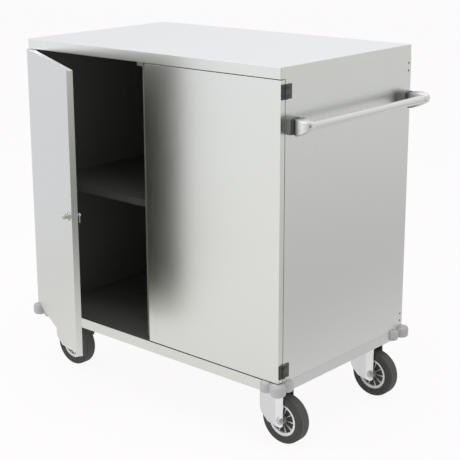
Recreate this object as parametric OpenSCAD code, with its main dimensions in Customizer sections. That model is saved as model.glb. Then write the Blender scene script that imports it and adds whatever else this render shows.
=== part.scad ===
// Cupboard trolley with two wing doors, one middle shelf, a push handle and four swivel casters.
// Millimetres. X runs along the front, the front face looks towards -Y, Z is up.
// The origin is on the floor, under the centre of the cabinet.

/* [Cabinet] */
// Width of the cabinet, side to side
body_w = 1120; // [900:5:1400]
// Depth of the cabinet, door face to rear face
body_d = 675; // [520:5:800]
// Height of the worktop above the floor
top_z = 1203.5; // [1000:0.5:1350]
// Height of the turned-down worktop edge
top_edge = 34; // [26:1:44]
// Height of the base rail
rail_h = 35.5; // [30:0.5:44]
// Thickness of the steel sheet
sheet = 1.5; // [1:0.1:2.5]
// Thickness of the double-skin side and rear panels
panel_t = 15; // [12:0.5:20]
// Corner radius of the worktop and of the base in plan
corner_r = 3; // [1:0.5:6]
// Width of the flange turned in below the worktop edge
top_return = 14; // [8:1:20]
// Width of the flange turned in below the base rail
base_return = 8; // [4:0.5:9]
// Diameter of the spare hinge holes at the rear edges
rear_hole_d = 4.2; // [3:0.1:6]

/* [Shelf] */
// Height of the shelf's upper face above the floor
shelf_z = 703.5; // [560:0.5:800]
// Distance of the shelf's front edge behind the door face
shelf_setback = 42; // [40:1:80]
// Height of the flanges along the shelf's front and rear edges
shelf_edge = 22; // [16:1:30]
// Clearance at both sides and the rear of the shelf
shelf_gap = 1; // [0.5:0.1:2]
// Leg length of the angles that carry the shelf
angle_leg = 20; // [14:1:28]
// Thickness of the angles that carry the shelf
angle_t = 2; // [1.5:0.1:3]

/* [Doors] */
// Thickness of the doors
door_t = 20; // [18:0.5:24]
// Gap between the worktop and the doors
door_top_gap = 2.5; // [2:0.1:4]
// Gap between the base rail and the doors
door_bottom_gap = 3.5; // [2:0.1:5]
// Gap between the doors and the side panels behind them
door_back_gap = 2.5; // [2:0.1:3.5]
// Where the doors meet, to the right of the centre
split_x = 7; // [-10:0.5:20]
// Gap between the two doors
split_gap = 3; // [2:0.1:5]
// How far the left door stands open at rest, in degrees
ajar = 27.3; // [0:0.1:60]
// Width of the hem turned in behind each door
hem_w = 14; // [10:1:20]
// Clearance between the stop strip's edge and the lock barrel
strip_clear = 1.5; // [1:0.1:4]
// How far the stop strip is fixed along the right door's back
strip_seat = 26; // [16:1:34]
// Clearance between the closed left door and the stop strip
strip_gap = 0.6; // [0.4:0.1:0.8]
// Width of each door catch under the worktop
catch_w = 25; // [18:1:32]
// Height of each door catch
catch_h = 16.5; // [12:0.5:22]
// Depth of each door catch
catch_d = 7; // [5:0.5:10]
// Distance of each door catch from the line where the doors meet
catch_out = 41.5; // [38:0.5:60]

/* [Hinges] */
// Height of a hinge
hinge_h = 44; // [36:1:60]
// Distance of the hinge centres from the ends of the doors
hinge_inset = 35; // [32:1:80]
// Distance of the pin axis outside the side face
pin_out = 4; // [4:0.1:6]
// Diameter of the hinge pin
pin_d = 3; // [2.5:0.1:3.4]
// Radius of the hinge knuckles
knuckle_r = 3.7; // [3.2:0.1:3.8]
// Thickness of the hinge leaves
leaf_t = 3; // [2:0.1:3.2]
// Width of the leaf on the door edge
door_leaf_w = 16; // [12:0.5:17]
// Width of the leaf on the side panel
body_leaf_w = 26; // [16:0.5:34]
// Spacing of the two screw holes in a leaf
leaf_pitch = 25; // [18:0.5:28]
// Distance of the panel screws behind the panel's front edge
leaf_screw_in = 12.5; // [9:0.5:13]
// Diameter of the screw holes in the leaves
leaf_hole_d = 4.5; // [3:0.1:5]

/* [Lock] */
// Distance of the lock axis from the left door's free edge
lock_in = 34.5; // [32:0.5:50]
// Height of the lock axis above the floor
lock_z = 699; // [560:1:900]
// Diameter of the rose around the lock
rose_d = 28; // [24:0.5:36]
// Thickness of the rose
rose_t = 3; // [2:0.5:4]
// Diameter of the lock barrel through the door
barrel_d = 16; // [12:0.5:18]
// How far the barrel stands out behind the door
barrel_back = 7; // [4:0.5:9]
// Diameter of the spindle
spindle_d = 8; // [6:0.5:10]
// Diameter of the knob's round head
knob_d = 18; // [14:0.5:24]
// Distance of the knob's head centre in front of the door face
knob_out = 15; // [14:0.5:20]
// Length of the cam below the spindle axis
cam_len = 23; // [16:0.5:26]
// Width of the cam
cam_w = 16; // [12:0.5:18]
// Thickness of the cam
cam_t = 3; // [2:0.5:4]
// Distance of the cam behind the door's outer face
cam_back = 31; // [30:0.5:33]
// Height of the keeper that the cam turns behind
keeper_h = 50; // [36:1:70]
// Clearance between the cam and the keeper
keeper_gap = 0.6; // [0.4:0.1:1]

/* [Handle] */
// Distance of the handle bar's axis below the worktop
bar_drop = 167.5; // [140:0.5:400]
// Distance of the bar's axis from the side face
bar_out = 70; // [60:1:90]
// Diameter of the handle bar
bar_d = 25; // [20:0.5:28]
// Wall of the handle bar
bar_wall = 1.5; // [1:0.1:3]
// Distance of the handle's front end behind the door face
handle_front = 28; // [26:1:60]
// Distance of the handle's rear end in front of the rear face
handle_rear = 6; // [2:1:60]
// Length of a handle bracket's root along the bar
bracket_len = 46; // [42:1:60]
// How far a bracket's rounded end stands out past its block
bracket_proud = 5; // [2:0.5:5.5]
// Length of a bracket's limb along the bar
limb_len = 33; // [28:1:40]
// Height of a bracket where it meets its block
root_h = 49; // [40:1:60]
// Height of the bracket's root above the bar axis
root_up = 18; // [16:0.5:24]
// Radius of the bracket's upright edges beside its block
root_r = 14; // [10:0.5:16]
// Radius of the bracket's rounded limb around the bar
limb_r = 14.5; // [14:0.5:18]
// Thickness of the grey block on the panel
block_t = 14; // [10:0.5:20]
// Thickness of the dark spacer between block and bracket
spacer_t = 10; // [6:0.5:14]
// Inset of the dark spacer inside the block's outline
spacer_in = 2; // [1:0.5:4]

/* [Bumpers] */
// Height of the corner bumpers
bumper_h = 37; // [30:0.5:38]
// Radius of the bumper's corner lobe
corner_lobe_r = 24; // [18:0.5:30]
// Radius of the bumper's front and side lobes
lobe_r = 20.5; // [16:0.5:24]
// Distance of the front and side lobes from the corner
lobe_out = 49; // [44:1:60]
// How far the front and side lobes stand out
lobe_proud = 16; // [12:0.5:20]
// Radius of the rounded rims of the lobes
lobe_rim = 9; // [3:0.5:12]
// Thickness of the bumper's web along the rail
web_t = 6; // [4:0.5:9]
// Height of the bumper's web
web_h = 27; // [20:0.5:30]

/* [Casters] */
// Width of the wheels
wheel_w = 44; // [36:1:46]
// Height from the floor to the base rail
build_h = 196; // [176:1:220]
// Height of the swivel bearing, from the fork's crown to the base rail
crown_h = 18; // [17:0.5:22]
// Clearance between the tyre and the fork's crown
tyre_gap = 15; // [14:0.5:20]
// Clearance between the tyre and the fork's nose
nose_gap = 11; // [8:0.5:16]
// Distance of the wheel axle behind the swivel axis
trail = 26; // [20:1:32]
// Distance of the swivel axes from the side faces
swivel_in_x = 67; // [64:1:90]
// Distance of the swivel axes from the front and rear faces
swivel_in_y = 91; // [76:1:120]
// Radius of the tyre's shoulders
shoulder_r = 9; // [5:0.5:11]
// Thickness of the tyre, from its seat on the rim to its tread
tyre_t = 26; // [22:0.5:30]
// Thickness of the light rim ring
ring_t = 9.4; // [6:0.2:12]
// How far the rim ring lies inside the tyre's side
ring_in = 3; // [2:0.5:5]
// Number of ribs on each dark wheel disc
rib_count = 10; // [6:1:14]
// Width of a wheel rib
rib_w = 2; // [1.5:0.1:3]
// Outer radius of the wheel hub
hub_r = 15; // [12:0.5:18]
// Thickness of the web between hub and rim ring
web_w = 8; // [6:0.5:10]
// Depth of the dark discs inside the tyre's side
disc_in = 10; // [8:0.5:12]
// Diameter of the axle bolt
axle_d = 12; // [8:0.5:14]
// Width across the flats of the axle's head and nut
axle_hex = 19; // [16:1:22]
// Height of the axle's head and nut
axle_head = 6; // [5:0.5:8]
// Diameter of the washers under the axle's head and nut
washer_d = 27; // [24:1:30]
// Thickness of these washers
washer_t = 1.5; // [1:0.1:2.5]
// Thickness of the fork sheet
fork_t = 3; // [2.5:0.1:4]
// Clearance between the wheel's side and the fork leg
wheel_gap = 3; // [2.5:0.1:5]
// How far the fork legs reach behind the axle
leg_back = 10; // [8:0.5:14]
// Radius of the rounded foot of the fork legs
foot_r = 18; // [15:0.5:20]
// Radius of the fork's shoulders
shoulder = 8; // [5:0.5:10]
// Plan radius of the fork's nose corners
nose_r = 18; // [12:0.5:20]
// Width across the top plate, side to side
plate_x = 110; // [90:1:112]
// Length of the top plate, front to rear
plate_y = 135; // [110:1:140]
// Thickness of the top plate
plate_t = 5; // [4:0.5:7]
// Corner radius of the top plate
plate_r = 8; // [4:1:12]
// Distance of the plate's bolt holes from its edges
hole_in = 14; // [12:0.5:18]
// Diameter of the plate's bolt holes
hole_d = 9; // [7:0.5:11]
// Outer radius of the swivel bearing's housing
race_r = 35; // [28:0.5:38]
// Height of the swivel bearing's housing
race_h = 6; // [5:0.5:8]
// Diameter of the king pin
king_d = 12; // [10:0.5:14]
// Diameter of the king pin's head
king_head_d = 20; // [18:0.5:24]
// Height of the king pin's head
king_head_h = 6; // [4:0.5:7]
// Angle through which a brake pedal is pressed down, in degrees
pedal_travel = 8; // [5:1:10]
// Distance of a pedal's pivots below the fork's crown
pivot_drop = 28; // [24:1:32]
// Distance of a pedal's pivots ahead of the axle
pivot_fore = 6; // [2:1:10]
// Diameter of the pivot studs
stud_d = 8; // [6:0.5:9]
// Radius of the shoe bar that presses on the tyre
shoe_r = 5; // [4:0.5:6]
// Angle of the shoe bar above the axle's level, in degrees
shoe_angle = 62; // [58:1:66]
// Thickness of the pedal's arms
arm_t = 3; // [2.5:0.5:4]
// How far the pedal's tread reaches past the axle
tread_out = 62; // [58:1:70]
// Length of the pedal's tread
tread_len = 18; // [14:1:22]
// How far the tread stands out beside the fork
tread_w = 26; // [20:1:32]

/* [Hidden] */
// running clearance of pins in bores
run = 0.05;
// clearance between faces that turn past each other
turn = 0.3;
eps = 1;
steel = [0.83, 0.84, 0.83];
bright = [0.9, 0.9, 0.9];
grey = [0.62, 0.63, 0.63];
black = [0.16, 0.16, 0.16];
cream = [0.88, 0.88, 0.84];
tyre_grey = [0.34, 0.34, 0.33];

// cabinet planes
half_w = body_w / 2;
half_d = body_d / 2;
face_y = -half_d;
base_top = build_h + rail_h;
top_under = top_z - top_edge;
door_back = face_y + door_t;
panel_front = door_back + door_back_gap;
inner_half_w = half_w - panel_t;
inner_rear = half_d - panel_t;
// doors
door_z0 = base_top + door_bottom_gap;
door_z1 = top_under - door_top_gap;
door_h = door_z1 - door_z0;
left_free_x = split_x - split_gap / 2;
right_free_x = split_x + split_gap / 2;
// hinges
pin_x = half_w + pin_out;
pin_y = door_back + door_back_gap / 2;
hinge_zs = [door_z0 + hinge_inset, door_z1 - hinge_inset];
knuckle_h = hinge_h / 3;
// lock
lock_x = left_free_x - lock_in;
barrel_end = door_back + barrel_back;
cam_y = face_y + cam_back;
strip_y = door_back + strip_gap;
strip_x = lock_x + barrel_d / 2 + strip_clear;
// handle
bar_x = half_w + bar_out;
bar_z = top_z - bar_drop;
root_x = half_w + block_t + spacer_t;
root_top = bar_z + root_up;
seat_y = limb_r - bracket_proud;
handle_y0 = face_y + handle_front;
handle_y1 = half_d - handle_rear;
// casters
plate_z = build_h - plate_t;
crown_z = build_h - crown_h;
under_crown = crown_z - fork_t;
wheel_r = (under_crown - tyre_gap) / 2;
tyre_seat_r = wheel_r - tyre_t;
ring_inner_r = tyre_seat_r - ring_t;
swivel_x = half_w - swivel_in_x;
swivel_y = half_d - swivel_in_y;
leg_in = wheel_w / 2 + wheel_gap;
leg_out = leg_in + fork_t;
fork_back = trail + leg_back;
nose_out = wheel_r - trail + nose_gap + fork_t;
channel_h = rail_h - sheet;
// brake pedals: the shoe just reaches the tyre when a pedal is pressed down
pivot_x = trail - pivot_fore;
pivot_z = crown_z - pivot_drop;
shoe_way = wheel_r + shoe_r + turn;
shoe_dx = trail + shoe_way * cos(shoe_angle) - pivot_x;
shoe_dz = wheel_r + shoe_way * sin(shoe_angle) - pivot_z;
shoe_x = pivot_x + shoe_dx * cos(pedal_travel) - shoe_dz * sin(pedal_travel);
shoe_z = pivot_z + shoe_dx * sin(pedal_travel) + shoe_dz * cos(pedal_travel);
tread_x = trail + tread_out;
tread_z = wheel_r + shoe_way / 2;

// ---- shared shapes ----

// corner points of a rectangle with rounded corners
function round_rect(w, d, r, n = 5) = [for (q = [0 : 3]) for (i = [0 : n])
    let (a = 90 * q + 90 * i / n, sx = (q == 0 || q == 3) ? 1 : -1, sy = q < 2 ? 1 : -1)
    [sx * (w / 2 - r) + r * cos(a), sy * (d / 2 - r) + r * sin(a)]];

// points of an arc
function arc(cx, cy, r, a0, a1, n) = [for (i = [0 : n])
    let (a = a0 + (a1 - a0) * i / n) [cx + r * cos(a), cy + r * sin(a)]];

// a box from its low corner to its high corner
module span(p, q) {
    translate(p) cube(q - p);
}

// bar along X from x0 to x1
module rod_x(x0, x1, d) {
    translate([x0, 0, 0]) rotate([0, 90, 0]) cylinder(h = x1 - x0, d = d, $fn = 48);
}

// bar along Y from y0 to y1
module rod_y(y0, y1, d) {
    translate([0, y0, 0]) rotate([-90, 0, 0]) cylinder(h = y1 - y0, d = d, $fn = 48);
}

// pan folded from one sheet: skin on top, edges turned down, flange turned in
module folded_pan(h, lip) {
    difference() {
        linear_extrude(h) polygon(round_rect(body_w, body_d, corner_r));
        span([-half_w + sheet, -half_d + sheet, sheet], [half_w - sheet, half_d - sheet, h - sheet]);
        span([-half_w + lip, -half_d + lip, -eps], [half_w - lip, half_d - lip, sheet + eps]);
    }
}

// closed double-skin panel, hollow inside
module hollow_panel(p, q) {
    wall = [sheet, sheet, sheet];
    difference() {
        span(p, q);
        span(p + wall, q - wall);
    }
}

// ---- cabinet ----

module worktop() {
    color(steel) translate([0, 0, top_under]) folded_pan(top_edge, top_return);
}

module base_tray() {
    color(steel) translate([0, 0, build_h]) folded_pan(rail_h, base_return);
}

// the right panel's shape; the left one is its mirror image
module side_panel() {
    difference() {
        hollow_panel([inner_half_w, panel_front, base_top], [half_w, half_d, top_under]);
        for (z = hinge_zs) for (s = [-1, 1])
            translate([0, half_d - leaf_screw_in, z + s * leaf_pitch / 2])
                rod_x(half_w - sheet - eps, half_w + eps, rear_hole_d);
    }
}

module right_side_panel() {
    color(steel) side_panel();
}

module left_side_panel() {
    color(steel) mirror([1, 0, 0]) side_panel();
}

module rear_panel() {
    color(steel) hollow_panel([-inner_half_w, inner_rear, base_top], [inner_half_w, half_d, top_under]);
}

// one channel over each pair of casters, its lips against the base tray's skin
module base_channels() {
    lip = 16;
    hw = plate_x / 2;
    y1 = half_d - base_return - eps;
    color(steel) for (s = [-1, 1]) translate([s * swivel_x, 0, build_h]) difference() {
        span([-hw, -y1, 0], [hw, y1, channel_h]);
        span([sheet - hw, -y1 - eps, sheet], [hw - sheet, y1 + eps, channel_h - sheet]);
        span([lip - hw, -y1 - eps, sheet + eps], [hw - lip, y1 + eps, channel_h + eps]);
        for (t = [-1, 1]) translate([0, t * swivel_y, 0]) plate_holes();
    }
}

module middle_shelf() {
    hw = inner_half_w - shelf_gap;
    y0 = face_y + shelf_setback;
    y1 = inner_rear - shelf_gap;
    lip = 10;
    color(steel) difference() {
        span([-hw, y0, shelf_z - shelf_edge], [hw, y1, shelf_z]);
        span([-hw - eps, y0 + sheet, shelf_z - shelf_edge + sheet],
            [hw + eps, y1 - sheet, shelf_z - sheet]);
        span([-hw - eps, y0 + lip, shelf_z - shelf_edge - eps], [hw + eps, y1 - lip, shelf_z - sheet]);
        // the flanges stop clear of the angles
        for (s = [-1, 1]) translate([s * (hw + eps), 0, shelf_z - sheet - shelf_edge / 2])
            cube([2 * (angle_leg + 2 * eps), body_d, shelf_edge], center = true);
    }
}

module shelf_angles() {
    y0 = face_y + shelf_setback + sheet + shelf_gap;
    under = shelf_z - sheet;
    color(steel) for (s = [0, 1]) mirror([s, 0, 0]) {
        span([inner_half_w - angle_t, y0, under - angle_leg], [inner_half_w, inner_rear, under]);
        span([inner_half_w - angle_leg, y0, under - angle_t], [inner_half_w, inner_rear, under]);
    }
}

// small folded stops that hang below the worktop flange, one behind each door
module door_catches() {
    y0 = strip_y + sheet + strip_gap;
    tab = 2 * catch_d;
    color(bright) for (s = [-1, 1]) translate([split_x + s * catch_out, 0, 0]) difference() {
        span([-catch_w / 2, y0, top_under - catch_h], [catch_w / 2, y0 + catch_d + tab, top_under]);
        span([-catch_w, y0 + sheet, top_under - catch_h - eps],
            [catch_w, y0 + catch_d + tab + eps, top_under - sheet]);
    }
}

// ---- hinges ----

// a hinge knuckle between two heights, with its bore
module knuckle(z0, h, bore) {
    translate([pin_x, pin_y, z0]) difference() {
        cylinder(h = h, r = knuckle_r, $fn = 48);
        translate([0, 0, -eps]) cylinder(h = h + 2 * eps, d = bore, $fn = 48);
    }
}

// clear space around a knuckle of the other leaf
module knuckle_room(z0, h) {
    translate([pin_x, pin_y, z0 - turn / 2]) cylinder(h = h + turn, r = knuckle_r + turn, $fn = 48);
}

// a neck that ties a knuckle to the leaf beside it
module knuckle_neck(z0, h, ya, yb) {
    difference() {
        span([half_w + pin_out - knuckle_r, min(ya, yb), z0], [half_w + leaf_t, max(ya, yb), z0 + h]);
        translate([pin_x, pin_y, z0 - eps]) cylinder(h = h + 2 * eps, r = pin_d / 2 + run, $fn = 48);
    }
}

// screw holes of a leaf
module leaf_holes(y, z) {
    for (s = [-1, 1]) translate([0, y, z + s * leaf_pitch / 2])
        rod_x(half_w - eps, half_w + leaf_t + eps, leaf_hole_d);
}

// leaf on the side panel, with the middle knuckle
module body_leaf(z) {
    z0 = z - hinge_h / 2;
    zk = z0 + knuckle_h + turn / 2;
    difference() {
        span([half_w, panel_front + turn, z0], [half_w + leaf_t, panel_front + body_leaf_w, z0 + hinge_h]);
        leaf_holes(panel_front + leaf_screw_in, z);
        knuckle_room(z0, knuckle_h);
        knuckle_room(z0 + 2 * knuckle_h, knuckle_h);
        translate([pin_x, pin_y, z0 - eps]) cylinder(h = hinge_h + 2 * eps, d = pin_d, $fn = 48);
    }
    knuckle(zk, knuckle_h - turn, pin_d);
    knuckle_neck(zk, knuckle_h - turn, pin_y, panel_front + 2 * turn);
}

// leaf on the door's edge, with the outer knuckles
module door_leaf(z) {
    z0 = z - hinge_h / 2;
    y1 = door_back - 2 * turn;
    difference() {
        span([half_w, y1 - door_leaf_w, z0], [half_w + leaf_t, y1, z0 + hinge_h]);
        leaf_holes(y1 - door_leaf_w / 2, z);
        knuckle_room(z0 + knuckle_h, knuckle_h);
        translate([pin_x, pin_y, z0 - eps]) cylinder(h = hinge_h + 2 * eps, r = pin_d / 2 + run, $fn = 48);
    }
    for (k = [0, 2]) {
        knuckle(z0 + k * knuckle_h, knuckle_h - turn / 2 * (2 - k) / 2, pin_d + 2 * run);
        knuckle_neck(z0 + k * knuckle_h, knuckle_h - turn / 2 * (2 - k) / 2, y1 - turn, pin_y);
    }
}

module fixed_hinge_leaves() {
    color(black) for (s = [0, 1]) mirror([s, 0, 0]) for (z = hinge_zs) body_leaf(z);
}

module hinge_pins() {
    color(bright) for (s = [-1, 1]) for (z = hinge_zs)
        translate([s * pin_x, pin_y, z - hinge_h / 2]) cylinder(h = hinge_h, d = pin_d, $fn = 48);
}

// ---- doors ----

// turns what belongs to the left door into its rest position
module left_ajar() {
    translate([-pin_x, pin_y, 0]) rotate([0, 0, -ajar]) translate([pin_x, -pin_y, 0]) children();
}

// door pan: outer skin, four edges and a hem around the back
module door_pan(x0, x1) {
    difference() {
        span([x0, face_y, door_z0], [x1, door_back, door_z1]);
        span([x0 + sheet, face_y + sheet, door_z0 + sheet],
            [x1 - sheet, door_back - sheet, door_z1 - sheet]);
        span([x0 + hem_w, door_back - 2 * sheet, door_z0 + hem_w],
            [x1 - hem_w, door_back + eps, door_z1 - hem_w]);
    }
}

// inner sheet that closes a door, welded inside the hem and pressed out flush with it
module door_liner(x0, x1) {
    r0 = [x0 + 2 * sheet, door_back - 2 * sheet, door_z0 + 2 * sheet];
    r1 = [x1 - 2 * sheet, door_back - sheet, door_z1 - 2 * sheet];
    difference() {
        union() {
            span(r0, r1);
            span([x0 + hem_w + sheet, door_back - sheet, door_z0 + hem_w + sheet],
                [x1 - hem_w - sheet, door_back, door_z1 - hem_w - sheet]);
        }
        span([x0 + hem_w + 2 * sheet, door_back - 2 * sheet - eps, door_z0 + hem_w + 2 * sheet],
            [x1 - hem_w - 2 * sheet, door_back - sheet, door_z1 - hem_w - 2 * sheet]);
    }
}

// bore for the lock barrel through the left door
module lock_bore(d) {
    translate([lock_x, 0, lock_z]) rod_y(face_y - eps, barrel_end + eps, d);
}

module left_door() {
    color(steel) left_ajar() difference() {
        door_pan(-half_w, left_free_x);
        lock_bore(barrel_d);
    }
}

module left_door_liner() {
    color(steel) left_ajar() difference() {
        door_liner(-half_w, left_free_x);
        lock_bore(barrel_d);
    }
}

module left_door_hinge_leaves() {
    color(black) left_ajar() mirror([1, 0, 0]) for (z = hinge_zs) door_leaf(z);
}

module right_door() {
    color(steel) door_pan(right_free_x, half_w);
}

module right_door_liner() {
    color(steel) door_liner(right_free_x, half_w);
}

module right_door_hinge_leaves() {
    color(black) for (z = hinge_zs) door_leaf(z);
}

// joggled strip on the right door's back that the left door closes against
module door_stop_strip() {
    xj = right_free_x + 2 * sheet;
    x1 = right_free_x + strip_seat;
    color(steel) translate([0, 0, door_z0 + 2 * sheet]) linear_extrude(door_h - 4 * sheet)
        polygon([[strip_x, strip_y], [xj, strip_y], [xj + 2 * sheet, door_back], [x1, door_back],
            [x1, door_back + sheet], [xj + 3 * sheet, door_back + sheet],
            [xj + sheet, strip_y + sheet], [strip_x, strip_y + sheet]]);
}

// block on the strip's back that the cam turns behind
module lock_keeper() {
    depth = cam_y - keeper_gap - strip_y - sheet;
    color(bright) difference() {
        span([strip_x, strip_y + sheet, lock_z - keeper_h / 2],
            [right_free_x, strip_y + sheet + depth, lock_z + keeper_h / 2]);
        span([strip_x - eps, strip_y + 2 * sheet, lock_z - keeper_h / 2 + sheet],
            [right_free_x - sheet, strip_y + depth, lock_z + keeper_h / 2 - sheet]);
    }
}

// ---- lock ----

module lock_barrel() {
    color(bright) left_ajar() difference() {
        translate([lock_x, 0, lock_z]) union() {
            rod_y(face_y - rose_t, face_y, rose_d);
            rod_y(face_y - rose_t, barrel_end, barrel_d);
        }
        lock_bore(spindle_d + 2 * run);
        translate([lock_x, 0, lock_z]) rod_y(face_y - rose_t - eps, face_y, spindle_d + 2 * run);
    }
}

// round knob turned in one piece with its spindle
module lock_knob() {
    neck_d = spindle_d + 5;
    flat = 1.5;
    flat_y = face_y - knob_out - knob_d / 2 + flat;
    back_y = face_y - rose_t - 3 * turn;
    color(bright) left_ajar() translate([lock_x, 0, lock_z]) {
        rod_y(face_y - knob_out, cam_y, spindle_d);
        rod_y(face_y - knob_out, face_y - rose_t - turn, neck_d);
        intersection() {
            translate([0, face_y - knob_out, 0]) sphere(d = knob_d, $fn = 48);
            rod_y(flat_y, back_y, knob_d + eps);
        }
    }
}

// flat cam, hanging down when unlocked
module lock_cam() {
    tip_r = cam_w / 2;
    color(bright) left_ajar() translate([lock_x, cam_y, lock_z]) {
        rod_y(0, cam_t, cam_w);
        span([-tip_r, 0, -cam_len], [tip_r, cam_t, 0]);
        rod_y(cam_t, 2 * cam_t, spindle_d + sheet);
    }
}

// ---- handle ----

module handle_bar() {
    color(steel) translate([bar_x, 0, bar_z]) difference() {
        rod_y(handle_y0 + seat_y, handle_y1 - seat_y, bar_d);
        rod_y(handle_y0 + seat_y - eps, handle_y1 - seat_y + eps, bar_d - 2 * bar_wall);
    }
}

// moulded bracket: rounded root at the block, round limb with a domed end around the bar
module handle_bracket() {
    limb_end = limb_len - bracket_proud;
    difference() {
        hull() {
            // rounded upright edges of the root
            for (y = [root_r - bracket_proud, bracket_len - root_r])
                translate([root_x + root_r, y, root_top - root_h])
                    cylinder(h = root_h, r = root_r, $fn = 48);
            // the limb around the bar and its domed end
            translate([bar_x, seat_y, bar_z]) {
                sphere(r = limb_r, $fn = 48);
                rotate([-90, 0, 0]) cylinder(h = limb_end - seat_y, r = limb_r, $fn = 48);
            }
        }
        translate([bar_x, 0, bar_z]) rod_y(seat_y, max(limb_end, bracket_len) + eps, bar_d);
    }
}

module front_handle_bracket() {
    color(grey) translate([0, handle_y0, 0]) handle_bracket();
}

module rear_handle_bracket() {
    color(grey) translate([0, handle_y1, 0]) mirror([0, 1, 0]) handle_bracket();
}

// plate between the bracket and the side panel
module handle_pad(x0, x1, inset) {
    r = 4;
    h = root_h - 2 * inset;
    w = bracket_len - 2 * inset;
    for (y = [handle_y0 + bracket_len / 2, handle_y1 - bracket_len / 2])
        translate([x0, y, root_top - root_h / 2]) rotate([90, 0, 90])
            linear_extrude(x1 - x0) polygon(round_rect(w, h, r));
}

module handle_blocks() {
    color(grey) handle_pad(half_w, half_w + block_t, 0);
}

module handle_spacers() {
    color(black) handle_pad(half_w + block_t, root_x, spacer_in);
}

// ---- bumpers ----

// barrel-shaped lobe with rounded rims
module lobe(r) {
    rim = min(lobe_rim, bumper_h / 2 - eps);
    rotate_extrude($fn = 64) union() {
        square([r - rim, bumper_h]);
        translate([0, rim]) square([r, bumper_h - 2 * rim]);
        for (z = [rim, bumper_h - rim]) translate([r - rim, z]) circle(r = rim, $fn = 32);
    }
}

// bumper at the front right corner; the others are its mirror images
module bumper() {
    sunk = lobe_r - lobe_proud;
    web_z = build_h + (bumper_h - web_h) / 2;
    difference() {
        union() {
            translate([half_w, face_y, build_h]) lobe(corner_lobe_r);
            translate([half_w - lobe_out, face_y + sunk, build_h]) lobe(lobe_r);
            translate([half_w - sunk, face_y + lobe_out, build_h]) lobe(lobe_r);
            span([half_w - lobe_out, face_y - web_t, web_z], [half_w, face_y, web_z + web_h]);
            span([half_w, face_y, web_z], [half_w + web_t, face_y + lobe_out, web_z + web_h]);
        }
        // the corner of the base tray that the bumper sits against
        translate([0, 0, build_h - eps]) linear_extrude(bumper_h + 2 * eps)
            polygon(round_rect(body_w, body_d, corner_r));
        span([0, face_y, base_top], [half_w, 0, build_h + bumper_h + eps]);
    }
}

module bumper_fr() {
    color(grey) bumper();
}

module bumper_fl() {
    color(grey) mirror([1, 0, 0]) bumper();
}

module bumper_rr() {
    color(grey) mirror([0, 1, 0]) bumper();
}

module bumper_rl() {
    color(grey) mirror([1, 0, 0]) mirror([0, 1, 0]) bumper();
}

// ---- casters, drawn around the swivel axis with the wheel trailing towards +X ----

// places a caster at a corner of the base: sx, sy give its side
module at_caster(sx, sy) {
    translate([sx * swivel_x, sy * swivel_y, 0]) children();
}

// bolt holes of the top plate
module plate_holes() {
    for (sx = [-1, 1]) for (sy = [-1, 1])
        translate([sx * (plate_x / 2 - hole_in), sy * (plate_y / 2 - hole_in), -plate_t - eps])
            cylinder(h = 2 * (plate_t + eps), d = hole_d, $fn = 32);
}

// top plate with the bearing's upper housing and the riveted king pin
module caster_plate() {
    head_z = under_crown - turn - king_head_h;
    color(bright) difference() {
        union() {
            translate([0, 0, plate_z]) linear_extrude(plate_t)
                polygon(round_rect(plate_x, plate_y, plate_r));
            translate([0, 0, plate_z - race_h]) cylinder(h = race_h, r = race_r, $fn = 64);
            translate([0, 0, head_z]) cylinder(h = plate_z - head_z, d = king_d, $fn = 48);
            translate([0, 0, head_z]) cylinder(h = king_head_h, d = king_head_d, $fn = 48);
        }
        translate([0, 0, build_h]) plate_holes();
    }
}

// plan outline of the fork around the swivel axis, drawn in by t
function fork_plan(t, back) =
    let (nose = nose_out - nose_r, hw = leg_out - t, crease = trail - 2 * leg_back, neck = hw - sheet)
    concat([[back, -hw], [back, hw], [crease, hw]],
        arc(-nose, neck - nose_r + t, nose_r - t, 90, 180, 6),
        arc(-nose, nose_r - t - neck, nose_r - t, 180, 270, 6),
        [[crease, -hw]]);

// side outline of the fork: the nose slants down to the rounded foot below the axle
module fork_side() {
    drawn_r = 80;
    k = wheel_r / drawn_r;
    // distances behind the nose and above the foot's centre, drawn for the radius above
    nose_edge = [[-eps, 44], [1, 43], [10, 24], [18, 12], [42, -10]];
    // how far the foot's centre lies ahead of the axle and below it
    foot_ahead = 6;
    foot_drop = 7.2;
    foot_x = trail - foot_ahead;
    foot_z = wheel_r - foot_drop;
    polygon(concat([[fork_back, crown_z], [-nose_out - eps, crown_z]],
        [for (p = nose_edge) [k * p[0] - nose_out, foot_z + k * p[1]]],
        arc(foot_x, foot_z, foot_r, 255, 360, 8), [[fork_back, foot_z + foot_r]]));
}

// end view of the fork: rounded shoulders below the crown
function fork_end(hw, top, r) =
    concat([[hw, 0]], arc(hw - r, top - r, r, 0, 90, 4), arc(r - hw, top - r, r, 90, 180, 4), [[-hw, 0]]);

// an end view drawn along the whole fork
module along_fork(over) {
    translate([-nose_out - over, 0, 0]) rotate([90, 0, 90])
        linear_extrude(nose_out + fork_back + 2 * over) children();
}

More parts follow.
